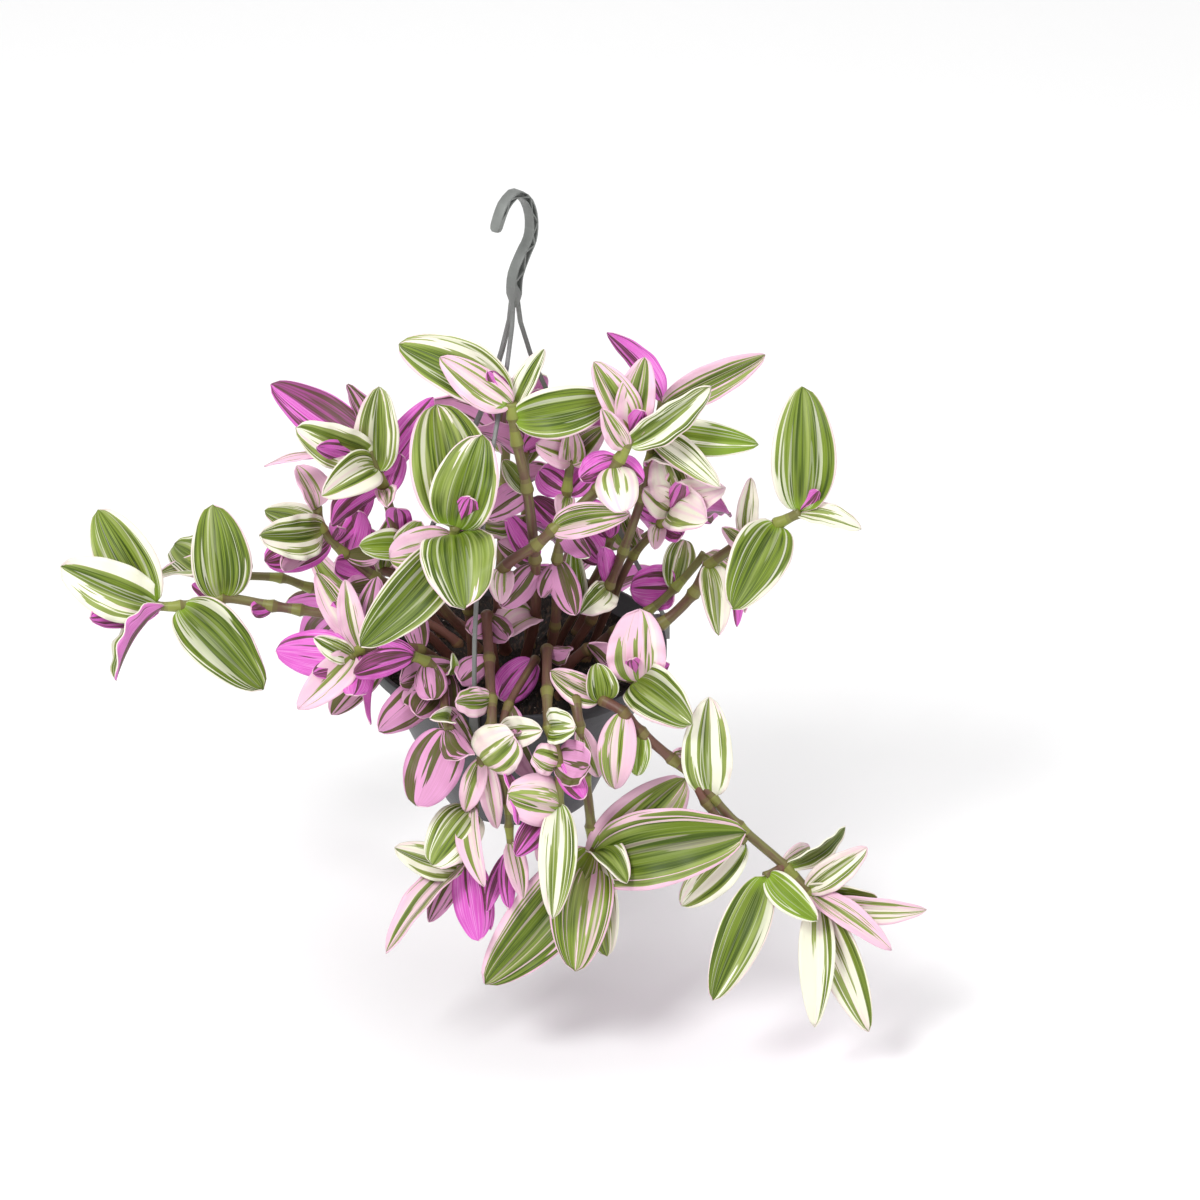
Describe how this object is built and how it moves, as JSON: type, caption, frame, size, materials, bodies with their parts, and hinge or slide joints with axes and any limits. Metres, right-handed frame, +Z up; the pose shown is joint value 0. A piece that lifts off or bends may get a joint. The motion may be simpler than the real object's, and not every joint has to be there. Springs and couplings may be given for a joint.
{
  "type": "potted tradescantia in a hanging pot",
  "caption": "Striped pink, white and green trailing tradescantia growing in a dark grey plastic hanging pot, held up by a moulded hook hanger whose legs clip over the rim.",
  "frame": {"origin": "the hook's bearing point, where the rod or eye that holds the pot touches the inside of the hook's crown, straight above the middle of the pot", "axes": "+Z up along the pot's axis, -Y towards the viewer of the picture, +X to the viewer's right; in metres"},
  "size_m": [0.4268, 0.2573, 0.3996],
  "materials": {
    "pot_plastic": "satin dark grey moulded plastic",
    "hanger_plastic": "satin mid grey moulded plastic",
    "soil": null,
    "plant": null
  },
  "bodies": {
    "root": {"pot": "pot_plastic", "hanger": "hanger_plastic", "stem_left_rear": "plant", "stem_left_front": "plant", "stem_left_up": "plant", "stem_left_top": "plant", "stem_front_head": "plant", "stem_top": "plant", "stem_pink_head": "plant", "stem_middle": "plant", "stem_right_top": "plant", "stem_right_inner": "plant", "stem_white_head": "plant", "stem_far_right": "plant", "stem_right_cut": "plant", "stem_right_rim": "plant", "stem_trailing_right": "plant", "stem_low_right": "plant", "stem_front_dome": "plant", "stem_front_thin": "plant", "stem_front_low": "plant", "stem_front_rim": "plant", "stem_left_low": "plant", "stem_far_head": "plant", "stem_far_trailing": "plant", "stem_far_side": "plant", "stem_far_leaning": "plant", "stem_far_tall": "plant", "soil": "soil"}
  },
  "joints": []
}
